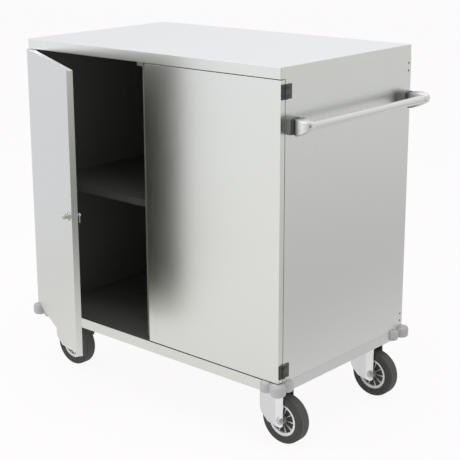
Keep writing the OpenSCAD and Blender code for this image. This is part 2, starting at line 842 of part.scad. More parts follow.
module fork() {
    color(bright) difference() {
        union() {
            intersection() {
                linear_extrude(crown_z) polygon(fork_plan(0, fork_back));
                translate([0, leg_out + eps, 0]) rotate([90, 0, 0])
                    linear_extrude(2 * (leg_out + eps)) fork_side();
                along_fork(eps) polygon(fork_end(leg_out, crown_z, shoulder));
            }
            // lower half of the swivel bearing
            translate([0, 0, crown_z - eps])
                cylinder(h = plate_z - race_h - turn - crown_z + eps, r = race_r - 2, $fn = 64);
        }
        // room for the wheel
        intersection() {
            translate([0, 0, -eps]) linear_extrude(under_crown + eps)
                polygon(fork_plan(fork_t, fork_back + 2 * eps));
            along_fork(2 * eps) polygon(fork_end(leg_in, under_crown, shoulder - fork_t));
        }
        translate([0, 0, under_crown - eps])
            cylinder(h = crown_h + fork_t, d = king_d + 2 * run, $fn = 48);
        translate([trail, 0, wheel_r]) rod_y(-leg_out - eps, leg_out + eps, axle_d);
    }
}

// fork with the two pivot studs of a brake pedal
module braked_fork() {
    fork();
    color(bright) for (s = [0, 1]) mirror([0, s, 0])
        translate([pivot_x, 0, pivot_z]) rod_y(leg_out, leg_out + arm_t + 2 * turn, stud_d);
}

// axle bolt with hexagon head, nut and washers
module axle() {
    color(bright) translate([trail, 0, wheel_r]) {
        rod_y(-leg_out - eps, leg_out + eps, axle_d);
        for (s = [0, 1]) mirror([0, s, 0]) {
            rod_y(leg_out, leg_out + washer_t, washer_d);
            translate([0, leg_out + washer_t + axle_head / 2, 0]) rotate([90, 0, 0])
                cylinder(h = axle_head, d = axle_hex / cos(30), center = true, $fn = 6);
        }
    }
}

// revolves a wheel outline, drawn as radius against half width, about the axle
module about_axle() {
    translate([trail, 0, wheel_r]) rotate([90, 0, 0]) rotate_extrude($fn = 96) children();
}

// spokes of the wheel between two distances from its middle, w wide
module spokes(y0, y1, w) {
    translate([trail, 0, wheel_r]) for (i = [0 : rib_count - 1]) rotate([0, 360 * i / rib_count, 0])
        span([hub_r - eps, y0, -w / 2], [ring_inner_r + eps, y1, w / 2]);
}

module tyre() {
    hw = wheel_w / 2;
    color(tyre_grey) about_axle() {
        translate([tyre_seat_r, -hw]) square([wheel_r - shoulder_r - tyre_seat_r, wheel_w]);
        translate([tyre_seat_r, shoulder_r - hw]) square([wheel_r - tyre_seat_r, wheel_w - 2 * shoulder_r]);
        for (s = [-1, 1]) translate([wheel_r - shoulder_r, s * (hw - shoulder_r)])
            circle(r = shoulder_r, $fn = 48);
    }
}

// light rim: ring, web, hub and the spokes in front of each dark disc
module rim() {
    ring_w = wheel_w - 2 * ring_in;
    hub_w = 2 * (leg_in - turn);
    bore_r = axle_d / 2 + run;
    color(cream) {
        about_axle() {
            translate([ring_inner_r, -ring_w / 2]) square([tyre_seat_r - ring_inner_r, ring_w]);
            translate([bore_r, -web_w / 2]) square([ring_inner_r - bore_r + eps, web_w]);
            translate([bore_r, -hub_w / 2]) square([hub_r - bore_r, hub_w]);
        }
        for (s = [0, 1]) mirror([0, s, 0]) spokes(wheel_w / 2 - disc_in + turn, ring_w / 2 - eps, rib_w);
    }
}

// dark disc behind the spokes on each side of the wheel, with a sleeve on the hub
module wheel_discs() {
    skin = 2;
    plate_in = wheel_w / 2 - disc_in;
    color(black) for (s = [0, 1]) mirror([0, s, 0]) about_axle() {
        translate([hub_r, web_w / 2]) square([skin, plate_in - web_w / 2]);
        translate([hub_r, plate_in - skin]) square([ring_inner_r - hub_r, skin]);
    }
}

// one arm of a brake pedal, outside a fork leg, drawn on the leg at +Y
module pedal_arm(outline) {
    y0 = leg_out + turn;
    y1 = y0 + arm_t;
    difference() {
        union() {
            translate([pivot_x, 0, pivot_z]) rod_y(y0, y1, 2 * stud_d);
            translate([shoe_x, 0, shoe_z]) rod_y(y0, y1, 3 * shoe_r);
            translate([0, y1, 0]) rotate([90, 0, 0]) linear_extrude(arm_t) polygon(outline);
        }
        translate([pivot_x, 0, pivot_z]) rod_y(y0 - eps, y1 + eps, stud_d + 2 * run);
    }
}

// brake pedal: two arms, a shoe bar over the tyre and a ribbed tread beside the rear leg
module brake_pedal() {
    y0 = leg_out + turn;
    deep = 1.5 * shoe_r;
    tread_t = 3;
    groove = 1;
    step = tread_len / 4;
    link = [[pivot_x, pivot_z - stud_d], [pivot_x, pivot_z + stud_d],
        [shoe_x, shoe_z + deep], [shoe_x, shoe_z - deep]];
    lever = [[pivot_x, pivot_z - stud_d], [pivot_x, pivot_z + stud_d], [shoe_x, shoe_z + deep],
        [tread_x, tread_z + tread_t], [tread_x, tread_z - deep],
        [tread_x - tread_len, tread_z - deep], [shoe_x - deep, shoe_z - deep]];
    color(grey) {
        pedal_arm(lever);
        mirror([0, 1, 0]) pedal_arm(link);
        translate([shoe_x, 0, shoe_z]) rod_y(-y0, y0, 2 * shoe_r);
        difference() {
            span([tread_x - tread_len, y0 + arm_t - eps, tread_z],
                [tread_x, y0 + tread_w, tread_z + tread_t]);
            for (i = [1 : 3])
                span([tread_x - i * step - groove / 2, y0 + 2 * arm_t, tread_z + tread_t - groove],
                    [tread_x - i * step + groove / 2, y0 + tread_w + eps, tread_z + tread_t + eps]);
        }
    }
}

module caster_plate_fl() { at_caster(-1, -1) caster_plate(); }
module caster_plate_fr() { at_caster(1, -1) caster_plate(); }
module caster_plate_rl() { at_caster(-1, 1) caster_plate(); }
module caster_plate_rr() { at_caster(1, 1) caster_plate(); }
module fork_fl() { at_caster(-1, -1) braked_fork(); }
module fork_fr() { at_caster(1, -1) fork(); }
module fork_rl() { at_caster(-1, 1) braked_fork(); }
module fork_rr() { at_caster(1, 1) fork(); }
module axle_fl() { at_caster(-1, -1) axle(); }
module axle_fr() { at_caster(1, -1) axle(); }
module axle_rl() { at_caster(-1, 1) axle(); }
module axle_rr() { at_caster(1, 1) axle(); }
module tyre_fl() { at_caster(-1, -1) tyre(); }
module tyre_fr() { at_caster(1, -1) tyre(); }
module tyre_rl() { at_caster(-1, 1) tyre(); }
module tyre_rr() { at_caster(1, 1) tyre(); }
module rim_fl() { at_caster(-1, -1) rim(); }
module rim_fr() { at_caster(1, -1) rim(); }
module rim_rl() { at_caster(-1, 1) rim(); }
module rim_rr() { at_caster(1, 1) rim(); }
module wheel_discs_fl() { at_caster(-1, -1) wheel_discs(); }
module wheel_discs_fr() { at_caster(1, -1) wheel_discs(); }
module wheel_discs_rl() { at_caster(-1, 1) wheel_discs(); }
module wheel_discs_rr() { at_caster(1, 1) wheel_discs(); }
module brake_pedal_fl() { at_caster(-1, -1) brake_pedal(); }
module brake_pedal_rl() { at_caster(-1, 1) brake_pedal(); }

worktop();
left_side_panel();
right_side_panel();
rear_panel();
base_tray();
base_channels();
middle_shelf();
shelf_angles();
door_catches();
fixed_hinge_leaves();
hinge_pins();
handle_bar();
front_handle_bracket();
rear_handle_bracket();
handle_blocks();
handle_spacers();
bumper_fl();
bumper_fr();
bumper_rl();
bumper_rr();
left_door();
left_door_liner();
left_door_hinge_leaves();
lock_barrel();
lock_knob();
lock_cam();
right_door();
right_door_liner();
right_door_hinge_leaves();
door_stop_strip();
lock_keeper();
caster_plate_fl();
fork_fl();
axle_fl();
tyre_fl();
rim_fl();
wheel_discs_fl();
brake_pedal_fl();
caster_plate_fr();
fork_fr();
axle_fr();
tyre_fr();
rim_fr();
wheel_discs_fr();
caster_plate_rl();
fork_rl();
axle_rl();
tyre_rl();
rim_rl();
wheel_discs_rl();
brake_pedal_rl();
caster_plate_rr();
fork_rr();
axle_rr();
tyre_rr();
rim_rr();
wheel_discs_rr();
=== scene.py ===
import math

import bmesh
import bpy
from mathutils import Matrix, Vector


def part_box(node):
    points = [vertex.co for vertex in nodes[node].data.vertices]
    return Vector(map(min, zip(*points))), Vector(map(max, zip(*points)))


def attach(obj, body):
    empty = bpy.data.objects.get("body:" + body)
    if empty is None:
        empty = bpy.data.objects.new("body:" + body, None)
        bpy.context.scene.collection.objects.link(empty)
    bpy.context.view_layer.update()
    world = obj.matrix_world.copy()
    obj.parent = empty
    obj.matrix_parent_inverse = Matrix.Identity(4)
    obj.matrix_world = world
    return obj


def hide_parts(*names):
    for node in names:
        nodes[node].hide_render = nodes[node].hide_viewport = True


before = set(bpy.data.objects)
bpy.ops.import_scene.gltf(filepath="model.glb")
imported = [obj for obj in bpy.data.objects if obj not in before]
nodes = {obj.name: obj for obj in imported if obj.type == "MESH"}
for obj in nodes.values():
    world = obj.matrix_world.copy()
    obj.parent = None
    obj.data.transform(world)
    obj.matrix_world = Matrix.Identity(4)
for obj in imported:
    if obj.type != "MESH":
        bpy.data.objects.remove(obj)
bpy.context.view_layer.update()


# ---------------------------------------------------------------- worktop
# A slab folded from one stainless sheet: flat skin, edges turned down on four sides and a flange
# turned in below. The sheet is belt-ground, so a fine grain runs along the long side.

def add(tree, kind, inputs=(), **settings):
    """Adds a shader node. inputs maps sockets to plain values or to the sockets that feed them."""
    made = tree.nodes.new("ShaderNode" + kind)
    for name, value in settings.items():
        setattr(made, name, value)
    for socket, value in dict(inputs).items():
        if isinstance(value, bpy.types.NodeSocket):
            tree.links.new(value, made.inputs[socket])
        else:
            made.inputs[socket].default_value = value
    return made


def reckon(tree, operation, *values):
    """The result of a sum on numbers or sockets."""
    return add(tree, "Math", dict(enumerate(values)), operation=operation).outputs[0]


def colour_mix(tree, factor, one, two, kind="MIX"):
    """A mix of two colours by a mask; a colour is three numbers or a socket."""
    inputs = {"Factor": factor}
    for socket, colour in (("A", one), ("B", two)):
        inputs[socket] = colour if isinstance(colour, bpy.types.NodeSocket) else (*colour, 1.0)
    return add(tree, "Mix", inputs, data_type="RGBA", blend_type=kind).outputs["Result"]


def spread(tree, mask, low, high, from_low=0.3, from_high=0.7):
    """Turns a mask into a range of values. A noise lies between 0.3 and 0.7 for the most part."""
    ramp = add(tree, "MapRange", {"Value": mask, "From Min": from_low, "From Max": from_high,
                                  "To Min": low, "To Max": high})
    return ramp.outputs["Result"]


def own_place(tree):
    """A point's place in the cart's own frame."""
    return add(tree, "TexCoord").outputs["Object"]


def place_along(tree, axis):
    """A point's place along one axis of the cart's own frame."""
    return add(tree, "SeparateXYZ", {0: own_place(tree)}).outputs[axis]


def noise(tree, place, scale, detail=2.0, roughness=0.5):
    """A soft noise mask."""
    texture = add(tree, "TexNoise", {"Vector": place, "Scale": scale, "Detail": detail,
                                     "Roughness": roughness})
    return texture.outputs["Fac"]


def new_group(name, inputs, outputs):
    """A node group with its sockets, and its input and output nodes."""
    group = bpy.data.node_groups.new(name, "ShaderNodeTree")
    for side, sockets in (("INPUT", inputs), ("OUTPUT", outputs)):
        for label, kind in sockets.items():
            group.interface.new_socket(name=label, in_out=side, socket_type="NodeSocket" + kind)
    return group, group.nodes.new("NodeGroupInput"), group.nodes.new("NodeGroupOutput")


def brushed_grain_group():
    """Fine lines of a ground sheet: masks from 0 to 1, one long and thin, one of broad clouds."""
    group, given, result = new_group("brushed grain", {"Stretch": "Vector"},
                                     {"Lines": "Float", "Clouds": "Float"})
    place = own_place(group)
    scaled = add(group, "VectorMath", {0: place, 1: given.outputs["Stretch"]}, operation="MULTIPLY")
    lines = noise(group, scaled.outputs[0], 1.0, detail=5.0, roughness=0.62)
    clouds = noise(group, place, 3.2, detail=3.0)
    group.links.new(lines, result.inputs["Lines"])
    group.links.new(clouds, result.inputs["Clouds"])
    return group


def worn_edge_group():
    """A mask that is 1 along the sharp edges of a piece and 0 on its flats, and a softened normal."""
    group, given, result = new_group("worn edges", {"Width": "Float"}, {"Edge": "Float", "Normal": "Vector"})
    bevel = add(group, "Bevel", {"Radius": given.outputs["Width"]}, samples=4)
    flat = add(group, "NewGeometry").outputs["Normal"]
    likeness = add(group, "VectorMath", {0: bevel.outputs["Normal"], 1: flat}, operation="DOT_PRODUCT")
    edge = spread(group, likeness.outputs["Value"], 0.0, 1.0, from_low=0.995, from_high=0.85)
    group.links.new(edge, result.inputs["Edge"])
    group.links.new(bevel.outputs["Normal"], result.inputs["Normal"])
    return group


brushed_grain = brushed_grain_group()
worn_edges = worn_edge_group()


def finish(name, metallic=0.0):
    """An empty material with its node tree and its Principled shader."""
    mat = bpy.data.materials.new(name)
    mat.use_nodes = True
    shader = mat.node_tree.nodes["Principled BSDF"]
    shader.inputs["Metallic"].default_value = metallic
    shader.inputs["IOR"].default_value = 1.45
    return mat, mat.node_tree, shader


def wire(tree, shader, **sources):
    """Links sockets to the shader's colour, roughness and normal."""
    for name, source in sources.items():
        tree.links.new(source, shader.inputs[name.replace("_", " ")])


def relief(tree, height, normal, strength, distance):
    """A fine bump over a softened normal."""
    bump = add(tree, "Bump", {"Height": height, "Normal": normal, "Strength": strength, "Distance": distance})
    return bump.outputs["Normal"]


def satin_steel(name, stretch, dark, light, rough=(0.275, 0.295), inside=None, upper=None):
    """Ground stainless sheet. stretch sets the grain's direction, inside is a mask of the dull hold
    faces, which get a painted shade tone, and upper is a mask of faces that get painted light or painted
    shade."""
    mat, tree, shader = finish(name, metallic=1.0)
    grain = add(tree, "Group", {"Stretch": stretch}, node_tree=brushed_grain).outputs
    edge = add(tree, "Group", {"Width": fold_wear}, node_tree=worn_edges).outputs
    colour = colour_mix(tree, spread(tree, grain["Lines"], 0.0, 1.0), dark, light)
    rubbed = [min(1.0, c * 1.08) for c in light]
    colour = colour_mix(tree, spread(tree, edge["Edge"], 0.0, 0.35, 0.0, 1.0), colour, rubbed)
    # painted light or painted shade on the faces that the mask picks
    if upper:
        where, painted_tone = upper
        colour = colour_mix(tree, where(tree), colour, painted_tone)
    if inside:
        hold_face = inside(tree)
        colour = colour_mix(tree, hold_face, colour, hold_shade_tone)
        wire(tree, shader, Metallic=spread(tree, hold_face, 1.0, 0.0, 0.0, 1.0))
    grind = spread(tree, grain["Lines"], *rough)
    patches = spread(tree, grain["Clouds"], -0.015, 0.02)
    wire(tree, shader, Base_Color=colour, Roughness=reckon(tree, "ADD", grind, patches),
         Normal=relief(tree, grain["Lines"], edge["Normal"], strength=0.0015, distance=0.0004))
    return mat


def beyond(axis, test, limit):
    """A mask of the points past a limit on an axis; along X both sides of the cart count."""
    def mask(tree):
        place = place_along(tree, axis)
        if axis == "X":
            place = reckon(tree, "ABSOLUTE", place)
        return reckon(tree, test, place, limit)
    return mask


def dress(names, mat):
    """Gives CAD nodes their finish."""
    for name in names:
        mesh = nodes[name].data
        mesh.materials.clear()
        mesh.materials.append(mat)


fold_wear = 0.0011
skin = 0.0006
steel_light = (0.808, 0.817, 0.772)
steel_dark = (0.798, 0.807, 0.762)
# The dark tone of the hold's inner faces is painted shade.
hold_shade_tone = (0.150, 0.150, 0.143)
along_grain, across_grain = 1.5, 800
along_x = (along_grain, across_grain, across_grain)
along_y = (across_grain, along_grain, across_grain)
along_z = (across_grain, across_grain, along_grain)

# The top face gets a paler, bluer tone: painted light from the lamps above.
slab_top = beyond("Z", "GREATER_THAN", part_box("worktop")[1].z - skin)
worktop_steel = satin_steel("worktop steel", along_x, steel_dark, steel_light, rough=(0.32, 0.36),
                            upper=(slab_top, (0.835, 0.843, 0.860)))
dress(["worktop"], worktop_steel)


# ---------------------------------------------------------------- side and rear panels
# Closed double-skin panels of folded sheet. Outside they are ground like the doors; inside, the
# hold is dull unground sheet with painted shade, as it sees little light. Spare hinge holes are punched at
# the rear.

side_low, side_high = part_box("right_side_panel")
inner_skin = 0.0004
panel_dark, panel_light = (0.784, 0.796, 0.778), (0.792, 0.804, 0.786)
side_steel = satin_steel("side panel steel", along_y, panel_dark, panel_light,
                         inside=beyond("X", "LESS_THAN", side_low.x + inner_skin))
rear_steel = satin_steel("rear panel steel", along_x, panel_dark, panel_light,
                         inside=beyond("Y", "LESS_THAN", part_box("rear_panel")[0].y + inner_skin))
dress(["left_side_panel", "right_side_panel"], side_steel)
dress(["rear_panel"], rear_steel)


# ---------------------------------------------------------------- base tray and caster channels
# A pan like the worktop, upside up: its rails show as a band below the doors. Two folded channels
# inside it carry the casters. The tray's upper face is the floor of the hold.

# The tray's end faces get a darker tone: painted shade on the faces turned from the light.
base_end = beyond("X", "GREATER_THAN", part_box("base_tray")[1].x - skin)
# The hold's floor gets the same painted shade.
hold_floor = beyond("Z", "GREATER_THAN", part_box("base_tray")[1].z - inner_skin)
base_steel = satin_steel("base steel", along_x, steel_dark, steel_light,
                         upper=(base_end, (0.725, 0.738, 0.725)), inside=hold_floor)
dress(["base_tray", "base_channels"], base_steel)


# ---------------------------------------------------------------- middle shelf
# A loose pan of thin sheet with a flange along its front and rear, lying on two folded angles that
# are welded to the side panels. Unground sheet, darkened with painted shade in the closed hold.

def dull_sheet(name, dark, light):
    """Unground sheet with a dull, slightly cloudy skin and rubbed edges."""
    mat, tree, shader = finish(name)
    grain = add(tree, "Group", {"Stretch": (60, 60, 60)}, node_tree=brushed_grain).outputs
    edge = add(tree, "Group", {"Width": fold_wear}, node_tree=worn_edges).outputs
    colour = colour_mix(tree, spread(tree, grain["Lines"], 0.0, 1.0), dark, light)
    rubbed = [c * 1.5 for c in light]
    colour = colour_mix(tree, spread(tree, edge["Edge"], 0.0, 0.6, 0.0, 1.0), colour, rubbed)
    wire(tree, shader, Base_Color=colour, Roughness=spread(tree, grain["Clouds"], 0.42, 0.55),
         Normal=relief(tree, grain["Lines"], edge["Normal"], strength=0.03, distance=0.0005))
    return mat


# The dark tone of the shelf and its angles is painted shade.
shaded_hold_sheet = dull_sheet("hold sheet in painted shade", (0.070, 0.070, 0.067), (0.088, 0.088, 0.085))
dress(["middle_shelf", "shelf_angles"], shaded_hold_sheet)


# ---------------------------------------------------------------- doors
# Two hollow wing doors: a folded pan with its edges turned back and a pressed liner inside the hem.
# The grain runs upright, and painted shade darkens the top faces. The left one stands a little
# open. A joggled strip on the right door covers the gap from behind.

# The doors' top faces get a darker, bluer tone: painted shade under the worktop.
door_top = beyond("Z", "GREATER_THAN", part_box("left_door")[1].z - skin)
door_steel = satin_steel("door steel", along_z, steel_dark, steel_light,
                         upper=(door_top, (0.64, 0.65, 0.685)))
dress(["left_door", "right_door", "left_door_liner", "right_door_liner"], door_steel)
# The stop strip's dark tone is painted shade behind the door gap.
dress(["door_stop_strip"], dull_sheet("stop strip in painted shade", (0.15, 0.15, 0.145), (0.18, 0.18, 0.175)))


# ---------------------------------------------------------------- door catches and keeper
# Folded stops under the worktop, and a keeper block on the strip, behind which the lock's cam
# turns. All bright zinc plated.

def zinc_plate(name, tone=(0.80, 0.81, 0.82), bright=None):
    """Bright plated steel with faint blotches. The optional mask is 0 where painted shade darkens the colour.
    """
    mat, tree, shader = finish(name, metallic=1.0)
    blotch = noise(tree, own_place(tree), 60.0, detail=4.0)
    edge = add(tree, "Group", {"Width": 0.0008}, node_tree=worn_edges).outputs
    colour = colour_mix(tree, spread(tree, blotch, 0.0, 1.0), [c * 0.95 for c in tone], tone)
    if bright:
        colour = colour_mix(tree, bright(tree), [c * 0.84 for c in tone], colour)
    wire(tree, shader, Base_Color=colour, Roughness=spread(tree, blotch, 0.30, 0.38),
         Normal=relief(tree, blotch, edge["Normal"], strength=0.01, distance=0.0005))
    return mat


bright_zinc = zinc_plate("bright zinc")
dress(["door_catches", "lock_keeper"], bright_zinc)


# ---------------------------------------------------------------- hinges
# Moulded black plastic leaves on a bright zinc plated pin outside the side face, each held by two
# cross-head screws. Dark plugs close the spare hinge holes at the cart's rear edges.

def moulded_plastic(name, dark, light, rough=(0.42, 0.56), bump=0.12, metallic=0.0):
    """Injection-moulded plastic with a fine leather-like skin and paler, rubbed edges."""
    mat, tree, shader = finish(name, metallic=metallic)
    place = own_place(tree)
    leather = noise(tree, place, 900.0)
    cloud = noise(tree, place, 14.0, detail=4.0)
    edge = add(tree, "Group", {"Width": 0.0014}, node_tree=worn_edges).outputs
    colour = colour_mix(tree, spread(tree, cloud, 0.0, 1.0), dark, light)
    rubbed = [min(1.0, c * 1.3 + 0.02) for c in light]
    colour = colour_mix(tree, spread(tree, edge["Edge"], 0.0, 0.5, 0.0, 1.0), colour, rubbed)
    wire(tree, shader, Base_Color=colour, Roughness=spread(tree, cloud, *rough),
         Normal=relief(tree, leather, edge["Normal"], strength=bump, distance=0.0003))
    return mat


black_plastic = moulded_plastic("black plastic", (0.042, 0.043, 0.042), (0.064, 0.065, 0.064))
dress(["left_door_hinge_leaves", "right_door_hinge_leaves"], black_plastic)
# The fixed leaves are the same black plastic painted paler: painted light.
paler_leaf_plastic = moulded_plastic("black plastic painted paler", (0.075, 0.076, 0.074), (0.105, 0.106, 0.104))
dress(["fixed_hinge_leaves"], paler_leaf_plastic)
dress(["hinge_pins"], bright_zinc)
black_screw = moulded_plastic("blackened screw", (0.030, 0.030, 0.030), (0.055, 0.055, 0.055),
                              rough=(0.3, 0.42))


def mesh_from(bm, name, crease):
    """Closes a bmesh into a smooth mesh that stays sharp at edges steeper than the crease angle."""
    bmesh.ops.recalc_face_normals(bm, faces=bm.faces)
    mesh = bpy.data.meshes.new(name)
    bm.to_mesh(mesh)
    bm.free()
    mesh.polygons.foreach_set("use_smooth", [True] * len(mesh.polygons))
    mesh.set_sharp_from_angle(angle=math.radians(crease))
    return mesh


def turned(name, outline, segments=40):
    """Mesh of a turned piece: outline is (radius, height) pairs about +Z."""
    bm = bmesh.new()
    rings = []
    for radius, height in outline:
        if radius == 0:
            rings.append([bm.verts.new((0, 0, height))])
            continue
        turns = [2 * math.pi * k / segments for k in range(segments)]
        rings.append([bm.verts.new((radius * math.cos(turn), radius * math.sin(turn), height))
                      for turn in turns])
    for low, high in zip(rings, rings[1:]):
        for k in range(segments):
            quad = [low[k % len(low)], low[(k + 1) % len(low)],
                    high[(k + 1) % len(high)], high[k % len(high)]]
            quad = [v for i, v in enumerate(quad) if v not in quad[:i]]
            if len(quad) > 2:
                bm.faces.new(quad)
    return mesh_from(bm, name, crease=35)


def facing(axis):
    """Rotation that turns +Z onto an axis."""
    return Vector((0, 0, 1)).rotation_difference(Vector(axis)).to_matrix().to_4x4()


def fit_piece(name, mesh, place, axis, body, mat, spin=0.0):
    """Puts a copy of a mesh at a place, facing along an axis, and lets it ride on a body."""
    piece = bpy.data.objects.new(name, mesh)
    bpy.context.collection.objects.link(piece)
    piece.matrix_world = Matrix.Translation(place) @ facing(axis) @ Matrix.Rotation(spin, 4, "Z")
    if mat.name not in [m.name for m in mesh.materials]:
        mesh.materials.append(mat)
    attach(piece, body)
    return piece


def cut_cross(mesh, arm, width, depth, top):
    """Sinks a cross recess into the top of a screw head."""
    head = bpy.data.objects.new("head", mesh)
    bm = bmesh.new()
    for size in ((arm, width), (width, arm)):
        made = bmesh.ops.create_cube(bm, size=1.0)
        bmesh.ops.scale(bm, vec=(*size, 2 * depth), verts=made["verts"])
        bmesh.ops.translate(bm, vec=(0, 0, top), verts=made["verts"])
    cross_mesh = bpy.data.meshes.new("cross")
    bm.to_mesh(cross_mesh)
    bm.free()
    cross = bpy.data.objects.new("cross", cross_mesh)
    for tool in (head, cross):
        bpy.context.collection.objects.link(tool)
    sink = head.modifiers.new("sink", "BOOLEAN")
    sink.operation = "DIFFERENCE"
    sink.solver = "EXACT"
    sink.object = cross
    sink.use_self = True
    bpy.context.view_layer.update()
    result = bpy.data.meshes.new_from_object(head.evaluated_get(bpy.context.evaluated_depsgraph_get()))
    result.name = mesh.name + "_crossed"
    for tool in (head, cross):
        bpy.data.objects.remove(tool)
    return result


pin = Vector((0.564, -0.31625, 0.0))
left_pin = Vector((-pin.x, pin.y, 0.0))
ajar = math.radians(27.3)
left_at_rest = (Matrix.Translation(left_pin) @ Matrix.Rotation(-ajar, 4, "Z")
                @ Matrix.Translation(-left_pin))
leaf_low, leaf_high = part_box("fixed_hinge_leaves")
leaf_t, leaf_half_h = 0.003, 0.022
screw_in, screw_half_pitch, screw_before_pin = 0.0125, 0.0125, 0.00985
leaf_face = side_high.x + leaf_t
panel_screw_y = side_low.y + screw_in
door_screw_y = pin.y - screw_before_pin
spare_y = side_high.y - screw_in
screw_top = 0.0007
hinge_screw = cut_cross(turned("hinge_screw", [(0, 0), (0.0037, 0), (0.0037, 0.0002), (0.0034, 0.0004),
                                               (0.0026, 0.0006), (0.0012, screw_top), (0, screw_top)]),
                        arm=0.0038, width=0.0008, depth=0.0005, top=screw_top)
hole_plug = turned("hole_plug", [(0.0020, -0.0012), (0.0020, -0.0001), (0.0034, -0.0001), (0.0034, 0.0003),
                                 (0.0026, 0.0007), (0, 0.0008)], segments=24)
panel_spin, door_spin = 0.4, 0.7
count = 0
for height in (leaf_low.z + leaf_half_h, leaf_high.z - leaf_half_h):
    for step in (-screw_half_pitch, screw_half_pitch):
        for side, across in ((-1, "left"), (1, "right")):
            count += 1
            z = height + step
            outside = Vector((side, 0, 0))
            fit_piece(f"spare_hole_plug_{count}", hole_plug, (side * side_high.x, spare_y, z), outside,
                      "cabinet", black_screw)
            fit_piece(f"panel_hinge_screw_{count}", hinge_screw, (side * leaf_face, panel_screw_y, z),
                      outside, "cabinet", black_screw, spin=panel_spin * count)
            spot = Vector((side * leaf_face, door_screw_y, z))
            if side < 0:
                spot = left_at_rest @ spot
                outside = left_at_rest.to_3x3() @ outside
            fit_piece(f"door_hinge_screw_{count}", hinge_screw, spot, outside, across + "_door",
                      black_screw, spin=door_spin * count)


# ---------------------------------------------------------------- lock
# A barrel with a rose through the left door, held by a round nut, a round knob outside and a flat
# cam with its screw inside. All satin nickel plated.

satin_nickel = moulded_plastic("satin nickel", (0.50, 0.51, 0.49), (0.55, 0.56, 0.54), rough=(0.48, 0.54),
                               bump=0.03, metallic=0.8)
dress(["lock_barrel", "lock_knob", "lock_cam"], satin_nickel)

lock_x, lock_z = -0.029, 0.699
door_back, rose_face, cam_back = -0.3175, -0.3405, -0.3005
inwards = left_at_rest.to_3x3() @ Vector((0, 1, 0))
barrel_r = 0.0081
barrel_nut = turned("barrel_nut", [(barrel_r, 0), (0.0092, 0), (0.0092, 0.0030), (0.0088, 0.0034),
                                   (barrel_r, 0.0034), (barrel_r, 0)])
fit_piece("barrel_nut", barrel_nut, left_at_rest @ Vector((lock_x, door_back, lock_z)), inwards,
          "left_door", satin_nickel)
cam_screw_top = 0.0018
cam_screw = cut_cross(turned("cam_screw", [(0, 0), (0.0036, 0), (0.0036, 0.0008), (0.0030, 0.0016),
                                           (0, cam_screw_top)]),
                      arm=0.0044, width=0.0009, depth=0.0009, top=cam_screw_top)
fit_piece("cam_screw", cam_screw, left_at_rest @ Vector((lock_x, cam_back, lock_z)), inwards,
          "lock", satin_nickel)
rose_ring = turned("rose_ring", [(0.0105, 0), (0.0128, 0.0004), (0.0134, 0.0), (0.0105, 0)])
fit_piece("rose_ring", rose_ring, left_at_rest @ Vector((lock_x, rose_face, lock_z)), -inwards,
          "left_door", satin_nickel)


# ---------------------------------------------------------------- door plug
# A small dark moulded plug in the left door's skin, near the lower free corner. It is pressed into
# a hole from the front, and only its low dome shows.

door_plug = turned("door_plug", [(0.0030, -0.0004), (0.0030, 0.0003), (0.0024, 0.0007), (0, 0.0008)],
                   segments=24)
plug_place = Vector((-0.012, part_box("right_door")[0].y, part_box("left_door")[0].z + 0.006))
fit_piece("door_plug", door_plug, left_at_rest @ plug_place, -inwards, "left_door",
          black_plastic)


# ---------------------------------------------------------------- push handle
# A ground steel tube seated in two moulded brackets with a satin silver lacquer, each on a grey
# block and a dark spacer. A small socket screw in the bracket's nose holds the tube.

dress(["handle_bar"], satin_steel("handle bar steel", along_y, (0.76, 0.765, 0.75), (0.80, 0.805, 0.79)))
silver_lacquer = moulded_plastic("silver lacquered plastic", (0.82, 0.83, 0.79), (0.85, 0.86, 0.82),
                                 rough=(0.42, 0.48), bump=0.04, metallic=0.75)


def paint_shade_where(mat, measure, low, high, tone):
    """Paints shade into a plastic's colour where a measure is low, and keeps its colour where it is high."""
    tree = mat.node_tree
    shader = tree.nodes["Principled BSDF"]
    unshaded = shader.inputs["Base Color"].links[0].from_socket
    painted_shade = spread(tree, measure(tree), 1.0, 0.0, low, high)
    wire(tree, shader, Base_Color=colour_mix(tree, painted_shade, unshaded, tone))


def from_middle(tree):
    """How far a point lies to the right of the cart's middle."""
    return place_along(tree, "X")


# Painted shade and painted reflection: the brackets darken toward their root by the spacer.
shade_to, unshaded_from = 0.586, 0.622
paint_shade_where(silver_lacquer, from_middle, shade_to, unshaded_from, tone=(0.12, 0.125, 0.115))

limb_r, root_up = 0.0145, 0.018
root_len, limb_end = 0.046, 0.028
cad_proud, proud = 0.005, 0.008
sweep_r, sweep_angle, nose_r, blunt = 0.050, math.radians(45), 0.026, 0.002
shoulder, shoulder_end = 0.008, 0.036
flat_top, flat_underside, underside_past, tip_below = 0.026, 0.014, 0.012, 0.010
blunt_steps, limb_steps, nose_steps, tip_gap = 6, 24, 12, 0.00002


def eased(value, low, high):
    """Runs smoothly from 0 at low to 1 at high."""
    part = min(1.0, max(0.0, (value - low) / (high - low)))
    return part * part * (3 - 2 * part)


